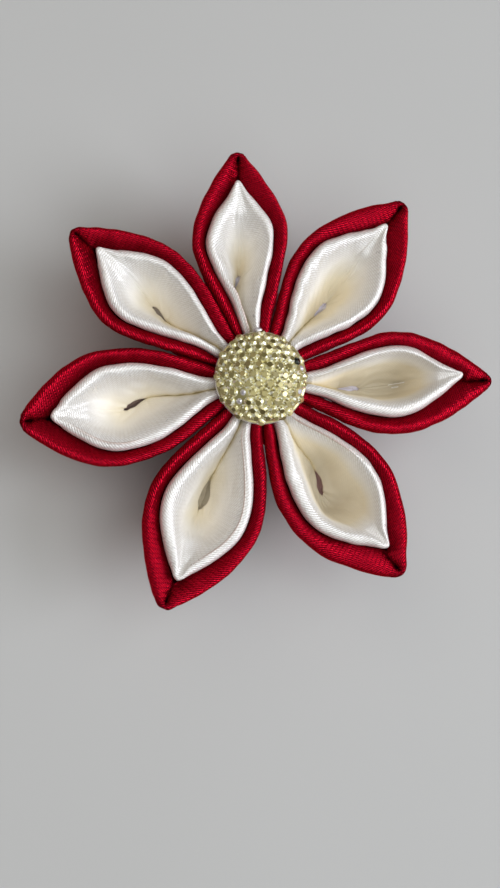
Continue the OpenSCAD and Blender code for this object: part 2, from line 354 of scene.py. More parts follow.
def run(grid):
    """How far each point lies from the first one along its section."""
    steps = np.linalg.norm(np.diff(grid, axis=1), axis=2)
    return np.concatenate([np.zeros((len(grid), 1)), np.cumsum(steps, axis=1)], axis=1)


# How softly the sections follow each other at the tip and, from so far behind it, along the rims, and how
# many sections the walls' directions are softened over
TIP_SOFTNESS = {RED: 0.22, CREAM: 0.12}
RIM_SOFTNESS = {RED: 0.6, CREAM: 0.9}
SOFT_FROM = 5.0
WALL_SOFTNESS = 2
# How far down the wall the roll fades, and how the red rim falls inwards where it shows
ROLL_BLEND = 1.3
RIM_SLOPE = 1.5
RIM_DROP = 0.42
TIP_DROP = 0.45
UP = np.array([0, 0, 1.0])
QUARTER = np.linspace(0, math.pi / 2, CAP_POINTS)[None, :, None]


def even_sections(petal, layer):
    """The softened sections at even steps along the rim, and how far from the tip each one lies."""
    rows = rim_rows(petal, layer)
    steps = np.hypot(*(np.roll(rows[:, :2], -1, axis=0) - rows[:, :2]).T)
    along = np.concatenate([[0], np.cumsum(steps)])
    length = along[-1]
    even = np.arange(SECTIONS) * length / SECTIONS
    rows = np.stack([np.interp(even, along[:-1], column, period=length) for column in rows.T], axis=1)
    from_tip = np.abs(even - even[np.argmax(rows[:, 0])])
    step = length / SECTIONS
    at_tip = soften(rows, TIP_SOFTNESS[layer] / step)
    at_rims = soften(rows, RIM_SOFTNESS[layer] / step)
    rows = mix(at_tip, at_rims, eased(from_tip, SOFT_FROM, SOFT_FROM)[:, None])
    return Section(*rows.T), from_tip


def petal_grid(petal, layer):
    """A petal's points, one ring of them a section, with how far from the tip each section lies along
    the rim, and where its inner side ends."""
    section, from_tip = even_sections(petal, layer)
    bottom = PETAL_FLOOR + (0 if layer == RED else CREAM_RISE)
    meet = mix(ROOT_MEETING, 1, held((section.x - KEEL_FROM) / (petal.near - KEEL_FROM)))[:, None]
    belly = mix(SIDE_BELLY, KEEL_BELLY, eased(section.share, BELLY_FROM, 1 - BELLY_FROM))[:, None]
    top = np.stack([section.x, section.y], axis=1)[:, None]
    low = np.stack([section.foot, section.foot_y], axis=1)[:, None]

    # The middle of the outer wall, from the middle of the roll down to the foot
    down = np.linspace(0, 1, WALL_POINTS)[None, :]
    inward = np.minimum(1, down / meet) ** belly
    height = mix((rim_height(layer, section.x) - section.roll)[:, None], bottom, down)
    middle = np.concatenate([mix(top, low, inward[..., None]), height[..., None]], axis=2)

    # Sections run clockwise seen from above, so their left is the outer side
    normal = unit(np.cross(around(middle), np.gradient(middle, axis=1)))
    level = around(middle)[:, [0, -1]]
    normal[:, [0, -1]] = unit(np.stack([-level[..., 1], level[..., 0], 0 * level[..., 0]], axis=2))
    normal = unit(soften(normal, WALL_SOFTNESS))

    roll = section.roll[:, None, None]
    half = section.half[:, None, None]
    blend = bell(run(middle), ROLL_BLEND)[..., None]
    outer = middle + mix(half, roll, blend) * normal
    cap = middle[:, :1] + roll * (np.cos(QUARTER) * normal[:, :1] + np.sin(QUARTER) * UP)
    if layer == RED:
        inside = red_inside(section, middle, normal, blend)
    else:
        inside = cream_bowl(petal, section, bottom)
    return np.concatenate([outer[:, :0:-1], cap, inside], axis=1), from_tip, section.inner


def red_inside(section, middle, normal, blend):
    """The inner side of a red petal: its rim slopes down to the cream one, and its wall follows."""
    roll = section.roll[:, None, None]
    half = section.half[:, None, None]
    shown = section.wide[:, None, None] - roll
    drop = roll + RIM_DROP + TIP_DROP * held((shown - RIM_RADIUS) / RIM_RADIUS)
    inward = np.sin(QUARTER[:, 1:])
    slope = middle[:, :1] + (roll - drop * inward ** RIM_SLOPE) * UP - shown * inward * normal[:, :1]
    wall = middle - mix(half, shown, blend) * normal
    inside = np.concatenate([slope, wall[:, 1:]], axis=1)
    inside[..., 2] = np.minimum.accumulate(inside[..., 2], axis=1)
    return inside


# The bowl: a shallow lip behind the tip, a ramp down to the slit and walls that meet towards the root.
# Depths of the slit and of what shows at the root are shares of the wall
LIP_CURVE = 1.3
LIP_PAST_RAMP = 1.5
SLIT_DEPTH = 0.72
ROOT_SHOWN = 0.14
MEETING_POWER = 0.8
CUP_POWER = 0.72
# How much lower the slit's floor lies than its edges, by what shows there, and where it starts to drop
FLOOR_DROP = {PALE_SLIT_FLOOR: 0.10, SLIT_SHADE: 0.35, SLIT_SHADE_GREY: 0.2, SLIT_SHADE_RED: 0.25, SLIT_SHADE_PALE: 0.2}
CREASE_DROP = 0.04
FLOOR_STEP = 0.02
OPEN_BEFORE = 0.3
OPEN_LENGTH = 0.8
# The fold that runs on from the slit, which starts a share of its length before the slit's far end
VALLEY_LENGTH = 7.5
VALLEY_BEFORE = 0.15
VALLEY_POWER = 1.2
VALLEY_WIDTH = 1.0
# How round the bowl is along its middle: as a crease, and where it is wide and past the slit
CREASE_ROUND = 0.02
KEEL_ROUND = 0.5
ROUND_LENGTH = 2.0
ROUND_ROOM = 4.0
LEAST_ROOM = 0.05


def ramp_share(petal, x):
    """How far down the ramp from the lip into the bowl x lies."""
    start, end = petal.ramp
    return eased(reach(petal, CREAM) - TIP_RADIUS - x, start, end - start)


def slit_share(petal, x):
    """How far the slit has opened at x."""
    return eased(x, petal.near - OPEN_BEFORE, OPEN_LENGTH)


def bowl_depth(petal, x):
    """How deep the middle of a bowl lies below its rims at x."""
    full = RIM_TOP - LAYER_GAP - PETAL_FLOOR - CREAM_RISE
    from_tip = np.maximum(reach(petal, CREAM) - TIP_RADIUS - x, 0)
    lip = petal.lip * np.minimum(from_tip / (petal.ramp[0] + LIP_PAST_RAMP), 1) ** LIP_CURVE
    meeting = held((x - KEEL_FROM) / (petal.near - KEEL_FROM)) ** MEETING_POWER
    dip = RIM_TOP - LAYER_GAP - rim_height(CREAM, x)
    to_root = (full - dip) * mix(ROOT_SHOWN, SLIT_DEPTH, meeting)
    return np.where(x < petal.near, to_root, mix(lip, full * SLIT_DEPTH, ramp_share(petal, x)))


def valley_depth(petal, x, away):
    """The fold that runs on from the slit towards the tip."""
    ahead = (x - petal.far) / VALLEY_LENGTH
    along = held((ahead + VALLEY_BEFORE) / (1 + VALLEY_BEFORE))
    window = np.where((along > 0) & (along < 1), np.sin(math.pi * along) ** VALLEY_POWER, 0)
    return petal.valley * window * np.exp(-np.abs(away) / VALLEY_WIDTH)


def cream_bowl(petal, section, bottom):
    """The side of the cream ribbon that shows: over its shoulders and down the bowl to the slit's floor."""
    tip_at = int(np.argmax(section.x))
    left = (np.arange(SECTIONS) <= tip_at)[:, None]
    down = np.linspace(0, 1, BOWL_POINTS)[None, 1:]
    x = mix(section.x[:, None], section.inner[:, None], down)
    line = keel(petal, CREAM, section.inner)
    above = (section.y - keel(petal, CREAM, section.x))[:, None]
    away = mix(above, (section.inner_y - line)[:, None], down)
    middle = keel(petal, CREAM, x)
    crest = np.where(left, np.interp(x, section.x[:tip_at + 1], section.y[:tip_at + 1]),
                     np.interp(x, section.x[:tip_at - 1:-1], section.y[:tip_at - 1:-1]))

    room = np.abs(crest - middle)
    rounded = CREASE_ROUND + KEEL_ROUND * eased(x, petal.far, ROUND_LENGTH) * held(room / ROUND_ROOM)
    out = np.hypot(away, rounded) - rounded
    inward = held(1 - out / np.maximum(np.hypot(room, rounded) - rounded, LEAST_ROOM))
    full = np.where(left, *petal.shoulders)
    round_floor = np.where(left, *petal.floor) * eased(x, KEEL_FROM, petal.near - KEEL_FROM)
    cup = np.minimum(inward ** (CUP_POWER * full) * (1 + round_floor / 2), 1)
    cup = (1 - np.cos(math.pi * cup)) / 2
    wall = mix(cup, inward ** full, ramp_share(petal, x) * (1 - round_floor))
    z = rim_height(CREAM, x) - bowl_depth(petal, x) * wall - valley_depth(petal, x, away)
    bowl = np.stack([x, middle + away, z], axis=2)

    edge = z[:, -1]
    drop = mix(CREASE_DROP, FLOOR_DROP[petal.shows], slit_share(petal, section.inner))
    slit = [np.stack([section.inner, y, height], axis=1) for y, height in (
        (section.inner_y, edge - drop / 2), (section.inner_y, edge - drop),
        (line, edge - drop - FLOOR_STEP), (line, np.full(SECTIONS, bottom)))]
    return np.concatenate([bowl, np.stack(slit, axis=1)], axis=1)


# Low waves over the ribbons: how many, their height and their lengths, and how far they fade at the floor
RIPPLES = 9
RIPPLE_HEIGHT = 0.05
RIPPLE_LENGTHS = (2.2, 7.0)
CALM_FLOOR = 1.5
# How far the strands have turned at the floor, and the shares of the weave that are left deep down and
# where sections crowd together
CLOSED_LEAN = 0.84
DEEP_WEAVE = 0.25
DEEP_FROM = 0.5
DEEP_LENGTH = 3.5
CROWDED = 0.1
CROWDED_TO_FREE = 0.7
# The seam of a red petal, with painted shade along it, from before the cream tip to its own melted tip, and
# its pucker
SEAM_SHADE = (0.02, 0.0, 0.001)
SEAM_WIDTH = 0.2
SEAM_BEFORE = 0.6
SEAM_FADE = 0.8
MELTED_SHARE = 0.6
MELTED_LENGTH = 1.8
MELTED_FADE = 1.6
PUCKER = 0.10
PUCKER_WIDTH = 1.0
PUCKER_REACH = 3
# The pressed line beside a cream rim: a groove with painted shade along it
PRESSED_LINE_SHADE = (0.45, 0.27, 0.20)
PRESSED_SHARE = 0.8
LINE_WIDTH = 0.11
LINE_DEPTH = 0.2
LINE_FADE = 4.0
# Painted yellowish shade along the crease from the root to the slit
CREASE_SHADE = (0.72, 0.60, 0.34)
CREASE_SHARE = 0.7
CREASE_WIDTH = 0.2
CREASE_PAST = 1
CREASE_FADE = 1.5
EDGE_SHARE = 0.5
chance = np.random.default_rng(7)


def ripple(s, v):
    """Low uneven waves over a ribbon, by the distance along its rim and from it."""
    total = 0
    for _ in range(RIPPLES):
        length = chance.uniform(*RIPPLE_LENGTHS)
        way = chance.uniform(0, 2 * math.pi)
        along = s * math.cos(way) + v * math.sin(way)
        total = total + np.sin(2 * math.pi * along / length + chance.uniform(0, 6.3))
    return total / math.sqrt(RIPPLES)


def tinted(colour, share):
    """A colour for each point, with how much of it shows there."""
    return np.concatenate([np.broadcast_to(colour, (*share.shape, 3)), share[..., None]], axis=2)


def red_marks(petal, x, away, across):
    """The tint and the relief of the seam at a red tip: painted shade along the seam, the darker melted tip,
    and the pucker.
    """
    near_tip = eased(x, reach(petal, CREAM) - SEAM_BEFORE, SEAM_FADE)
    seam = bell(away, SEAM_WIDTH) * near_tip * (across > 0)
    melted = MELTED_SHARE * eased(x, reach(petal, RED) - MELTED_LENGTH, MELTED_FADE)
    pucker = np.sin(9 * x + 3 * np.sin(4 * x)) * bell(away, PUCKER_WIDTH) * near_tip
    return tinted(SEAM_SHADE, np.maximum(seam, melted)), PUCKER * pucker * (np.abs(across) < PUCKER_REACH)


def cream_marks(petal, x, away, across, from_tip, inner, left):
    """The tint and the relief of a cream ribbon's pressed line and its crease, both with painted shade, and
    what its slit shows: painted shade or a pale floor.
    """
    start, end, inset = petal.line
    reached = eased(from_tip, start, LINE_FADE) * smooth((end - from_tip) / LINE_FADE) * left
    groove = bell(across - inset, LINE_WIDTH) * reached[:, None]
    crease = bell(away, CREASE_WIDTH) * smooth((petal.near + CREASE_PAST - x) / CREASE_FADE) * (across > 0)
    pressed = PRESSED_SHARE * groove
    tint = tinted(PRESSED_LINE_SHADE, pressed)
    tint[crease > pressed] = (*CREASE_SHADE, 0)
    tint[..., 3] = np.maximum(pressed, CREASE_SHARE * crease)
    # The slit's floor, and half its edge, take the slit's colour: painted shade, or the pale floor
    shown = mix(np.array([*CREASE_SHADE, 1]), np.array([*petal.shows, 1]), slit_share(petal, inner)[:, None])
    tint[:, -SLIT_POINTS:] = shown[:, None]
    tint[:, -SLIT_POINTS - 1] = shown * (1, 1, 1, EDGE_SHARE)
    return tint, -LINE_DEPTH * groove


def placed(name, data):
    """A new object in the scene."""
    thing = bpy.data.objects.new(name, data)
    bpy.context.scene.collection.objects.link(thing)
    return thing


def store(mesh, name, values, domain="POINT"):
    """Keeps a number for each point or face of a mesh under that name."""
    values = np.asarray(values, np.float32).ravel()
    mesh.attributes.new(name, "FLOAT", domain).data.foreach_set("value", values)


def petal_mesh(petal, layer):
    """Makes a petal of one colour as a closed mesh, with what its weave, its painted shade and its tints
    follow.
    """
    ring, from_tip, inner = petal_grid(petal, layer)
    n, m = ring.shape[:2]
    x = ring[..., 0]
    across = run(ring)
    across = across - across[:, TOP_AT:TOP_AT + 1]
    out = unit(np.cross(unit(around(ring)), np.gradient(ring, axis=1)))

    # Strands cross the rim at 45 degrees and lie straight across the petal where it closes
    lean = held(CLOSED_LEAN * (x[:, TOP_AT] - inner) / np.maximum(across[:, -1], 1))
    stretch = np.sqrt(1 - lean ** 2) + lean
    signed = np.where(across > 0, across * stretch[:, None], across)
    strand = (from_tip[:, None] + signed) / math.sqrt(2)
    floats = (from_tip[:, None] - signed) / math.sqrt(2)

    left = np.arange(n) <= np.argmin(from_tip)
    wave = ripple(np.where(left, from_tip, -from_tip)[:, None], across)
    calm = bell(np.maximum(across[:, -1:] - across, 0), CALM_FLOOR)
    depth = (ring[:, TOP_AT:TOP_AT + 1, 2] - ring[..., 2]) * np.where(across > 0, 1, -1)
    # In a cream bowl each petal's own factor makes the painted shade deepen faster or slower
    if layer == CREAM:
        depth = np.where(depth > 0, depth * petal.stain, depth)
    apart = np.linalg.norm(around(ring), axis=2)
    gathered = eased(apart / apart[:, TOP_AT:TOP_AT + 1], CROWDED, CROWDED_TO_FREE)
    weave = gathered * mix(1, DEEP_WEAVE, eased(depth, DEEP_FROM, DEEP_LENGTH))
    away = np.abs(ring[..., 1] - keel(petal, layer, x))
    if layer == RED:
        tint, relief = red_marks(petal, x, away, across)
    else:
        tint, relief = cream_marks(petal, x, away, across, from_tip, inner, left)
    ring = ring + (RIPPLE_HEIGHT * wave * (1 - calm) + relief)[..., None] * out

    turn = math.radians(petal.turn)
    c, s = math.cos(turn), math.sin(turn)
    points = ring.reshape(-1, 3) @ np.array([[c, s, 0], [-s, c, 0], [0, 0, 1]])
    i, j = np.meshgrid(np.arange(n), np.arange(m), indexing="ij")
    next_i = (i + 1) % n
    next_j = (j + 1) % m
    quads = np.stack([i * m + j, i * m + next_j, next_i * m + next_j, next_i * m + j], axis=2).reshape(-1, 4)
    mesh = bpy.data.meshes.new(f"petal_{petal.place}_{layer}_ribbon")
    mesh.from_pydata((points * MM).tolist(), [], quads.tolist())
    for name, values in (("strand", strand), ("floats", floats), ("depth", depth), ("weave", weave)):
        store(mesh, name, values)
    colours = mesh.attributes.new("tint", "FLOAT_COLOR", "POINT").data
    colours.foreach_set("color", tint.ravel().astype(np.float32))
    mesh.shade_smooth()
    mesh.update()
    return placed(mesh.name, mesh)


class Wire:
    """A socket in a material. An expression on wires adds the nodes that work it out."""

    def __init__(self, finish, socket):
        self.finish = finish
        self.socket = socket

    def maths(self, operation, *values):
        return self.finish.add("ShaderNodeMath", {"operation": operation}, dict(enumerate([self, *values])))

    def __add__(self, other):
        return self.maths("ADD", other)

    def __sub__(self, other):
        return self.maths("SUBTRACT", other)

    def __rsub__(self, other):
        return self.finish.add("ShaderNodeMath", {"operation": "SUBTRACT"}, {0: other, 1: self})

    def __mul__(self, other):
        return self.maths("MULTIPLY", other)

    def __truediv__(self, other):
        return self.maths("DIVIDE", other)

    def __pow__(self, other):
        return self.maths("POWER", other)

    __radd__ = __add__
    __rmul__ = __mul__


class Finish:
    """A procedural material, built node by node."""

    def __init__(self, name):
        self.material = bpy.data.materials.new(name)
        self.material.use_nodes = True
        self.tree = self.material.node_tree
        self.shader = self.tree.nodes["Principled BSDF"]

    def add(self, kind, settings=None, sockets=None, output=0):
        """Adds a node with its settings and the values or wires of its sockets, and gives one output."""
        node = self.tree.nodes.new(kind)
        for key, value in (settings or {}).items():
            if key == "stops":
                set_stops(node, value)
            else:
                setattr(node, key, value)
        for key, value in (sockets or {}).items():
            self.join(node.inputs[key], value)
        return Wire(self, node.outputs[output])

    def join(self, socket, value):
        if isinstance(value, Wire):
            self.tree.links.new(value.socket, socket)
        else:
            socket.default_value = value

    def attribute(self, name, output="Fac"):
        return self.add("ShaderNodeAttribute", {"attribute_name": name}, output=output)

    def blend(self, share, a, b):
        """A mix of two colours."""
        return self.add("ShaderNodeMix", {"data_type": "RGBA"}, {"Factor": share, 6: a, 7: b}, 2)

    def noise(self, scale, detail=3.0):
        place = self.add("ShaderNodeTexCoord", output="Object")
        return self.add("ShaderNodeTexNoise", {}, {"Vector": place, "Scale": scale, "Detail": detail})

    def share(self, value, low, high, curve="LINEAR"):
        """How far a value is on its way from low to high, from 0 to 1."""
        return self.add("ShaderNodeMapRange", {"interpolation_type": curve},
                        {"Value": value, "From Min": low, "From Max": high})

    def shade(self, **sockets):
        """Sets sockets of the shader, given by name with underscores for spaces."""
        for key, value in sockets.items():
            self.join(self.shader.inputs[key.replace("_", " ")], value)
        return self.material


def set_stops(node, stops):
    """Gives a colour ramp its stops, each a place and a colour."""
    ramp = node.color_ramp.elements
    while len(ramp) < len(stops):
        ramp.new(1.0)
    for stop, (place, colour) in zip(ramp, stops):
        stop.position = place
        stop.color = colour


# The weave, in millimetres: strands side by side, each in floats that end in a step from its neighbour's
STRAND_PITCH = 0.33
FLOAT_LENGTH = 1.3
FLOAT_STEP = 0.4
STRAND_WANDER = 0.35
STRAND_ROUND = 0.7
END_FROM = 0.30
# How far down the gloss fades, and over what depths the painted shade reaches its deepest tone
SUNK = (0.8, 4.0)
DEEPEST_SHADE = (7.5, 17.0)
DEEP_CURVE = 1.2


def satin(name, face, deep, stain, deepens, between, gap, painted_glint, relief, metallic, roughness, gloss, edge):
    """Satin ribbon: slanting strands with staggered ends, with painted shade between the strands and down in
    the folds, and painted glints on the strands.
    """
    f = Finish(name)
    uneven = f.noise(700.0)
    strand = f.attribute("strand") / STRAND_PITCH + (uneven - 0.5) * STRAND_WANDER
    row = strand.maths("FLOOR")
    ridge = (strand * math.pi).maths("SINE").maths("ABSOLUTE") ** STRAND_ROUND
    along = f.attribute("floats") / FLOAT_LENGTH + row * FLOAT_STEP
    ends = f.share((along.maths("FRACT") - 0.5).maths("ABSOLUTE"), END_FROM, 0.5, "SMOOTHSTEP")
    thread = f.add("ShaderNodeCombineXYZ", {}, {0: row, 1: along.maths("FLOOR")})
    lot = f.add("ShaderNodeTexWhiteNoise", {"noise_dimensions": "2D"}, {"Vector": thread}, "Value")
    height = ridge * (1 - 0.5 * ends) * (0.8 + 0.2 * lot)
    woven = f.attribute("weave")
    depth = f.attribute("depth")
    sunk = f.share(depth.maths("ABSOLUTE"), *SUNK)

    # Painted shade: the colour darkens with depth down the folds, and is darkest far down
    colour = f.blend(f.share(depth, *deepens) ** DEEP_CURVE, face, deep)
    colour = f.blend(f.share(depth, *DEEPEST_SHADE), colour, stain)
    # Painted shade in the hollows between the strands
    colour = f.blend((1 - height) * woven * gap, colour, between)
    # Painted glints on the tops of some strands
    bright = (1.0, min(1, 3 * face[1]), min(1, 3 * face[2]), 1)
    colour = f.blend((height ** 3.0) * (lot ** 2.0) * woven * painted_glint, colour, bright)
    colour = f.blend(f.attribute("tint", "Alpha"), colour, f.attribute("tint", "Color"))
    bump = f.add("ShaderNodeBump", {}, {"Strength": 1.0, "Distance": relief * MM, "Height": height * woven})
    rough = roughness + (uneven - 0.5) * 0.2 - lot * woven * 0.08 + sunk * 0.2
    on_top, sunken = metallic
    return f.shade(Base_Color=colour, Roughness=rough, Normal=bump,
                   Metallic=on_top + sunk * (sunken - on_top),
                   Specular_IOR_Level=gloss, Specular_Tint=edge)


def red_satin():
    return satin("red_satin", face=(0.50, 0.005, 0.021, 1), deep=(0.06, 0.0006, 0.001, 1),
                 stain=(0.06, 0.0006, 0.001, 1), deepens=(0.3, 2.6), between=(0.01, 0.0, 0.0, 1),
                 gap=0.7, painted_glint=0.22, relief=0.10, metallic=(0.80, 0.10), roughness=0.28,
                 gloss=0.0, edge=(0.9, 0.12, 0.16, 1))


def cream_satin():
    return satin("cream_satin", face=(0.95, 0.93, 0.90, 1), deep=(0.91, 0.82, 0.63, 1),
                 stain=(0.58, 0.51, 0.38, 1), deepens=(1.4, 7.5), between=(0.50, 0.43, 0.34, 1),
                 gap=0.55, painted_glint=0.0, relief=0.05, metallic=(0.28, 0.0), roughness=0.37,
                 gloss=0.85, edge=(1, 1, 1, 1))


def pin_steel():
    """Plain sheet steel with a fine cloudy grain."""
    f = Finish("pin_steel")
    grain = f.noise(3000.0)
    return f.shade(Base_Color=f.blend(grain, (0.50, 0.50, 0.51, 1), (0.66, 0.66, 0.68, 1)),
                   Metallic=1.0, Roughness=0.28 + grain * 0.15)


# Painted reflections: the colours a facet is given for what it would throw back, from the room's dark side
# to its window; and the odd stones' own colours
GOLD_REFLECTIONS = [
    (0.0, (0.17, 0.135, 0.045, 1)), (0.28, (0.38, 0.32, 0.12, 1)), (0.55, (0.62, 0.55, 0.25, 1)),
    (0.75, (0.88, 0.83, 0.50, 1)), (0.88, (1.0, 1.0, 0.86, 1))]
PALE_STONE = (0.75, 0.73, 0.82, 1)
DARK_STONE = (0.010, 0.014, 0.008, 1)


def gold_stones():
    """Foiled stones with painted reflections: each facet is coloured gold, olive or nearly white for its own
    part of the room.
    """
    f = Finish("gold_stones")
    kind = f.attribute("kind")
    gold = f.add("ShaderNodeValToRGB", {"stops": GOLD_REFLECTIONS}, {"Fac": f.attribute("facet")})
    colour = f.blend(kind.maths("MAXIMUM", 0.0), gold, PALE_STONE)
    colour = f.blend((0 - kind).maths("MAXIMUM", 0.0), colour, DARK_STONE)
    return f.shade(Base_Color=colour, Metallic=0.55, Roughness=0.2, Coat_Weight=0.4, Coat_Roughness=0.03)


def table_top():
    f = Finish("table_top")
    cloudy = f.noise(14.0, 2.0)
    colour = f.blend(cloudy, (0.507, 0.504, 0.486, 1), (0.542, 0.538, 0.520, 1))
    return f.shade(Base_Color=colour, Roughness=0.6)


# The cabochon, in millimetres
EDGE_HEIGHT = 0.8
EDGE_BEVEL = 0.15
EDGE_ROUND = 0.2
DOME_HEIGHT = 3.0
DOME_INSET = 0.25
STONE_D = 1.58
STONE_PITCH = 1.01 * STONE_D
STONE_INSET = 0.06
STONE_SIZES = (0.96, 1.08)
# The share of its size that a stone at the edge has
EDGE_STONE = 0.82
# Rows start at this share of the stones' pitch and reach this far past the field
ROW_SHARE = 0.9
FIELD_EDGE = 0.25
SHAKE = 0.36
PUSHES = 50
NOT_ITSELF = 10
# The radius and height of a cut stone's table, of its stars' outer corners, of its girdle and of its foot
TABLE = (0.52, 0.62)
STARS = (0.74, 0.46)
GIRDLE = (1.0, 0.12)
FOOT = (0.96, -0.5)
TABLE_SIDES = 8
GIRDLE_SIDES = 16
# How bright each facet's painted reflection is before chance adds to it: the table, then a star, a kite
# and the two facets beside it round the stone, then the girdle and the foot
REFLECTION_LIFT = [-0.2] + [0.05, 0.15, 0.35, 0.35] * TABLE_SIDES + [0.45] * GIRDLE_SIDES + [0.0]
FACET_CHANCE = 0.80
# Stones that stand out in the field, by their place in millimetres: 1 is pale, -1 is dark
ODD_STONES = [(5.0, 2.9, -1), (5.6, 1.0, -0.8), (5.1, -2.6, 1), (6.1, 1.9, 1),
              (-3.3, -2.4, 0.8), (-2.9, -4.1, 0.8)]
PALE_SIZE = 0.62
DARK_SIZE = 0.85
# The drop of clear glue at the edge, and what the resin of the edge and the drop looks like: a middle
# painted reflection, and the clear tone low on the edge
BLOB_R = 0.5
BLOB_AT = (-0.46, 6.9)
BLOB_STRETCH = (1.3, 0.9, 1, 1)
RESIN_FACET = 0.5
CLEAR = 0.8
CLEAR_BELOW = 0.1


def circle(sides, radius, height, turn=0):
    """Points round the vertical axis, turned by a share of a side."""
    return [(radius * math.cos(a), radius * math.sin(a), height)
            for a in (np.arange(sides) + turn) * 2 * math.pi / sides]


def cut_stone():
    """A round stone of diameter 2: a table, eight stars, eight kites and sixteen facets at the girdle."""
    points = (circle(TABLE_SIDES, *TABLE) + circle(TABLE_SIDES, *STARS, turn=0.5)
              + circle(GIRDLE_SIDES, *GIRDLE) + circle(GIRDLE_SIDES, *FOOT))
    star = TABLE_SIDES
    girdle = 2 * TABLE_SIDES
    foot = girdle + GIRDLE_SIDES
    faces = [list(range(TABLE_SIDES))]
    for k in range(TABLE_SIDES):
        corner = girdle + 2 * k
        faces.append([k, star + k, (k + 1) % TABLE_SIDES])
        faces.append([k, star + (k - 1) % TABLE_SIDES, corner, star + k])
        faces.append([star + k, corner, corner + 1])
        faces.append([star + k, corner + 1, girdle + (2 * k + 2) % GIRDLE_SIDES])
    for k in range(GIRDLE_SIDES):
        after = (k + 1) % GIRDLE_SIDES
        faces.append([girdle + k, foot + k, foot + after, girdle + after])
    faces.append([foot + k for k in reversed(range(GIRDLE_SIDES))])
    mesh = bpy.data.meshes.new("cut_stone")
    mesh.from_pydata(points, [], faces)
    store(mesh, "lift", REFLECTION_LIFT, "FACE")
    return bpy.data.objects.new("cut_stone", mesh)


class Field:
    """A geometry node tree, built node by node."""

    def __init__(self, name, sizes):
        self.tree = bpy.data.node_groups.new(name, "GeometryNodeTree")
        self.tree.interface.new_socket("Geometry", in_out="INPUT", socket_type="NodeSocketGeometry")
        self.tree.interface.new_socket("Geometry", in_out="OUTPUT", socket_type="NodeSocketGeometry")
        self.inputs = []
        for size, (kind, value) in sizes.items():
            socket = self.tree.interface.new_socket(size, in_out="INPUT", socket_type="NodeSocket" + kind)
            self.inputs.append((socket.identifier, value))
        self.given = self.tree.nodes.new("NodeGroupInput").outputs
        self.result = self.tree.nodes.new("NodeGroupOutput").inputs[0]

    def add(self, kind, settings=None, sockets=None, output=0):
        """Adds a node with its settings and the values or links of its sockets, and gives one output."""
        node = self.tree.nodes.new(kind)
        for key, value in (settings or {}).items():
            setattr(node, key, value)
        for key, value in (sockets or {}).items():
            if isinstance(value, bpy.types.NodeSocket):
                self.tree.links.new(value, node.inputs[key])
            else:
                node.inputs[key].default_value = value
        return node.outputs[output]

    def named(self, name):
        """A number that the points or faces carry."""
        return self.add("GeometryNodeInputNamedAttribute", {"data_type": "FLOAT"}, {"Name": name})

    def grow(self, name, points, **columns):
        """Runs the tree on a list of points and gives its result as a plain mesh object."""
        mesh = bpy.data.meshes.new(name)
        mesh.from_pydata(points.tolist(), [], [])
        for column, values in columns.items():
            store(mesh, column, values)
        holder = placed(name, mesh)
        modifier = holder.modifiers.new(name, "NODES")
        modifier.node_group = self.tree
        for identifier, value in self.inputs:
            modifier[identifier] = value
        evaluated = holder.evaluated_get(bpy.context.evaluated_depsgraph_get())
        mesh = bpy.data.meshes.new_from_object(evaluated)
        holder.modifiers.clear()
        holder.data = mesh
        return holder


def stone_places(arc):
    """Flat places and sizes of the stones on a disc of that radius: a close pattern, finer towards the
    edge, shaken and pushed apart."""
    pitch = ROW_SHARE * STONE_PITCH
    rows = int(arc / pitch) + 2
    places = []
    for j in range(-rows, rows + 1):
        for i in range(-rows - 1, rows + 2):
            places.append(((i + j % 2 / 2) * pitch, j * pitch * math.sin(math.pi / 3)))
    places = np.array(places)
    places = places[np.hypot(*places.T) < arc + FIELD_EDGE]
    places = places + chance.normal(0, SHAKE, places.shape)
    for _ in range(PUSHES):
        size = mix(1, EDGE_STONE, held(np.hypot(*places.T) / arc) ** 2)
        gap = places[:, None] - places[None]
        apart = np.hypot(gap[..., 0], gap[..., 1]) + NOT_ITSELF * np.eye(len(places))
        push = np.maximum(STONE_PITCH * (size[:, None] + size[None]) / 2 - apart, 0) / 2
        places = places + (gap / apart[..., None] * push[..., None]).sum(axis=1) / 2
        far = np.maximum(np.hypot(*places.T) / arc, 1)
        places = places / far[:, None]
    return places, size


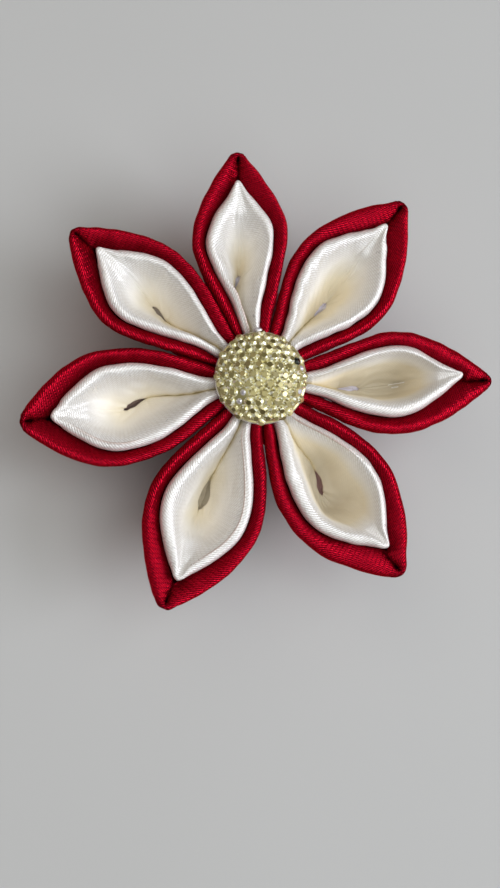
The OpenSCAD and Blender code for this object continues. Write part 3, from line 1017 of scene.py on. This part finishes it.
def stone_field(ball_z, stone, material):
    """The tree that sets a stone on each point, square to the dome and tilted by chance, with a painted
    reflection on each facet brightened by chance.
    """
    f = Field("stone_field", {
        "Stone": ("Object", stone), "Ball Centre": ("Vector", (0, 0, ball_z * MM)),
        "Stone Radius": ("Float", STONE_D / 2 * MM), "Tilt": ("Float", 0.13), "Seed": ("Int", 3),
        "Finish": ("Material", material)})
    seed = f.given["Seed"]
    outward = f.add("ShaderNodeVectorMath", {"operation": "SUBTRACT"}, {
        0: f.add("GeometryNodeInputPosition"), 1: f.given["Ball Centre"]})
    facing = f.add("FunctionNodeAlignRotationToVector", {"axis": "Z"}, {"Vector": outward})
    lean = f.add("FunctionNodeRandomValue", {"data_type": "FLOAT_VECTOR"}, {
        0: (-1, -1, 0), 1: (1, 1, 6), "Seed": seed})
    lean = f.add("ShaderNodeVectorMath", {"operation": "SCALE"}, {0: lean, "Scale": f.given["Tilt"]})
    tilted = f.add("FunctionNodeRotateRotation", {"rotation_space": "LOCAL"}, {0: facing, 1: lean})
    size = f.add("ShaderNodeMath", {"operation": "MULTIPLY"}, {
        0: f.named("size"), 1: f.given["Stone Radius"]})
    one = f.add("GeometryNodeObjectInfo", {}, {0: f.given["Stone"]}, "Geometry")
    field = f.add("GeometryNodeInstanceOnPoints", {}, {
        "Points": f.given["Geometry"], "Instance": one, "Rotation": tilted, "Scale": size})
    field = f.add("GeometryNodeRealizeInstances", {}, {0: field})
    facet = f.add("FunctionNodeRandomValue", {"data_type": "FLOAT"}, {
        2: 0.0, 3: FACET_CHANCE, "Seed": seed}, 1)
    facet = f.add("ShaderNodeMath", {"operation": "ADD"}, {0: f.named("lift"), 1: facet})
    field = f.add("GeometryNodeStoreNamedAttribute", {"data_type": "FLOAT", "domain": "FACE"}, {
        0: field, "Name": "facet", "Value": facet})
    field = f.add("GeometryNodeSetMaterial", {}, {0: field, "Material": f.given["Finish"]})
    f.tree.links.new(field, f.result)
    return f


def stones(ball_r, ball_z, cap, material):
    """The field of stones on the dome."""
    stone = cut_stone()
    field = stone_field(ball_z, stone, material)
    flat, size = stone_places(ball_r * cap - STONE_D * STONE_INSET)
    away = np.maximum(np.hypot(*flat.T), NARROWEST)
    spread = ball_r * np.sin(away / ball_r) / away
    height = ball_z + ball_r * np.cos(away / ball_r)
    points = np.stack([flat[:, 0] * spread, flat[:, 1] * spread, height], axis=1)
    kind = np.zeros(len(points))
    for x, y, odd in ODD_STONES:
        kind[np.argmin(np.hypot(points[:, 0] - x, points[:, 1] - y))] = odd
    odd_size = np.where(kind > 0, PALE_SIZE, np.where(kind < 0, DARK_SIZE, 1))
    size = size * chance.uniform(*STONE_SIZES, len(points)) * odd_size
    piece = field.grow("stones", points * MM, kind=kind, size=size)
    bpy.data.objects.remove(stone)
    return piece


def turned(name, profile, sides=96):
    """A closed round body from a profile of (radius, height) points that starts and ends on the axis."""
    rings = profile[1:-1]
    points = [(0, 0, profile[0][1]), (0, 0, profile[-1][1])]
    for radius, height in rings:
        points += circle(sides, radius, height)
    last = 2 + (len(rings) - 1) * sides
    faces = []
    for k in range(sides):
        after = (k + 1) % sides
        faces.append([0, 2 + after, 2 + k])
        faces.append([1, last + k, last + after])
        for low in range(2, last, sides):
            faces.append([low + k, low + after, low + sides + after, low + sides + k])
    mesh = bpy.data.meshes.new(name)
    mesh.from_pydata((np.array(points) * MM).tolist(), [], faces)
    mesh.shade_smooth()
    return placed(name, mesh)


def cabochon(material):
    """The dome, its clear edge, its stones and a drop of glue, as one piece."""
    low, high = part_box("cabochon")
    base = low.z / MM
    radius = (high.x - low.x) / 2 / MM
    edge = base + EDGE_HEIGHT
    dome_r = radius - DOME_INSET
    ball_r = (dome_r ** 2 + DOME_HEIGHT ** 2) / (2 * DOME_HEIGHT)
    ball_z = edge + DOME_HEIGHT - ball_r
    cap = math.asin(dome_r / ball_r)
    profile = [(0, base), (radius - EDGE_BEVEL, base), (radius, base + EDGE_BEVEL),
               (radius, edge - EDGE_ROUND), (radius - EDGE_BEVEL, edge)]
    profile += [(ball_r * math.sin(a), ball_z + ball_r * math.cos(a)) for a in np.linspace(cap, 0, 12)]
    dome = turned("dome", profile)
    half_circle = np.linspace(0, math.pi, 9)
    blob = turned("glue_blob", [(BLOB_R * math.sin(a), -BLOB_R * math.cos(a)) for a in half_circle], 20)
    at_edge = Matrix.Translation(Vector((*BLOB_AT, edge)) * MM)
    blob.data.transform(at_edge @ Matrix.Diagonal(BLOB_STRETCH))
    for body in (dome, blob):
        mesh = body.data
        mesh.materials.append(material)
        # The resin takes a middle painted reflection
        store(mesh, "facet", np.full(len(mesh.polygons), RESIN_FACET), "FACE")
        clear_below = (edge - CLEAR_BELOW) * MM if body == dome else math.inf
        store(mesh, "kind", [CLEAR if v.co.z < clear_below else 0.0 for v in mesh.vertices])
    field = stones(ball_r, ball_z, cap, material)
    with bpy.context.temp_override(active_object=dome, selected_editable_objects=[dome, blob, field]):
        bpy.ops.object.join()
    dome.name = "cabochon_stones"
    return dome


def dress(piece, node):
    """Puts a finished piece in a solid's place."""
    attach(piece, "root")
    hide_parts(node)


# The camera, from its picture of the flower: lengths in metres and, for the lens, in the photo's pixels
FOCAL_PIXELS = 1200
PHOTO_HEIGHT = 888
SENSOR = 36
NEAREST = 0.005
EYE = (-0.03437, -0.02649, 0.18476)
EYE_TILT = 5.6
EYE_ROLL = -11.0


def camera():
    """The camera leans a little to the left and down, nearly above the flower."""
    view = bpy.data.cameras.new("camera")
    view.sensor_width = SENSOR
    view.lens = SENSOR * FOCAL_PIXELS / PHOTO_HEIGHT
    view.clip_start = NEAREST
    eye = placed("camera", view)
    eye.location = EYE
    eye.rotation_euler = (math.radians(EYE_TILT), math.radians(EYE_ROLL), 0)
    bpy.context.scene.camera = eye


# How far off the lights stand, and how large the table is, in metres
LIGHT_AWAY = 1.2
TABLE_SIZE = 2.6
# The room's brightness by height: pale low down, so that low views have a pale backdrop, and dark above
WALLS = [(0.12, (0.42, 0.40, 0.39, 1)), (0.45, (0.07, 0.06, 0.055, 1))]


def soft_light(name, turn, height, size, share):
    """A round light seen from the flower at that turn and height in degrees. share is how much of a full
    white light it gives the table, by colour."""
    turn = math.radians(turn)
    height = math.radians(height)
    way = Vector((math.cos(height) * math.cos(turn), math.cos(height) * math.sin(turn), math.sin(height)))
    light = bpy.data.lights.new(name, "AREA")
    light.shape = "DISK"
    light.size = size
    light.energy = max(share) * math.pi ** 2 * LIGHT_AWAY ** 2 / math.sin(height)
    light.color = [part / max(share) for part in share]
    lamp = placed(name, light)
    lamp.location = LIGHT_AWAY * way
    lamp.rotation_euler = (-way).to_track_quat("-Z", "Y").to_euler()


def surround():
    """The room round the table, as its walls show in gloss."""
    world = bpy.data.worlds.new("surround")
    world.use_nodes = True
    room = world.node_tree
    way = room.nodes.new("ShaderNodeTexCoord")
    height = room.nodes.new("ShaderNodeSeparateXYZ")
    walls = room.nodes.new("ShaderNodeValToRGB")
    set_stops(walls, WALLS)
    room.links.new(way.outputs["Generated"], height.inputs[0])
    room.links.new(height.outputs["Z"], walls.inputs[0])
    room.links.new(walls.outputs[0], room.nodes["Background"].inputs["Color"])
    bpy.context.scene.world = world


def studio():
    """A pale table under soft lights: two windows on the right, a bright ceiling and a wall."""
    bpy.ops.mesh.primitive_plane_add(size=TABLE_SIZE)
    table = bpy.context.object
    table.name = "table"
    table.data.materials.append(table_top())
    soft_light("window", -5, 33, 0.7, (0.27, 0.28, 0.31))
    soft_light("ceiling", -65, 74, 1.5, (0.48, 0.505, 0.515))
    soft_light("side_window", 20, 58, 0.8, (0.13, 0.14, 0.145))
    soft_light("wall", 140, 52, 1.0, (0.11, 0.095, 0.085))
    surround()
    bpy.context.scene.view_settings.view_transform = "Standard"


camera()
studio()
red = red_satin()
cream = cream_satin()
for petal in PETALS:
    for layer, material in ((RED, red), (CREAM, cream)):
        ribbon = petal_mesh(petal, layer)
        ribbon.data.materials.append(material)
        dress(ribbon, f"petal_{petal.place}_{layer}")
dress(cabochon(gold_stones()), "cabochon")
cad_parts["hairpin"].data.materials.clear()
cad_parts["hairpin"].data.materials.append(pin_steel())
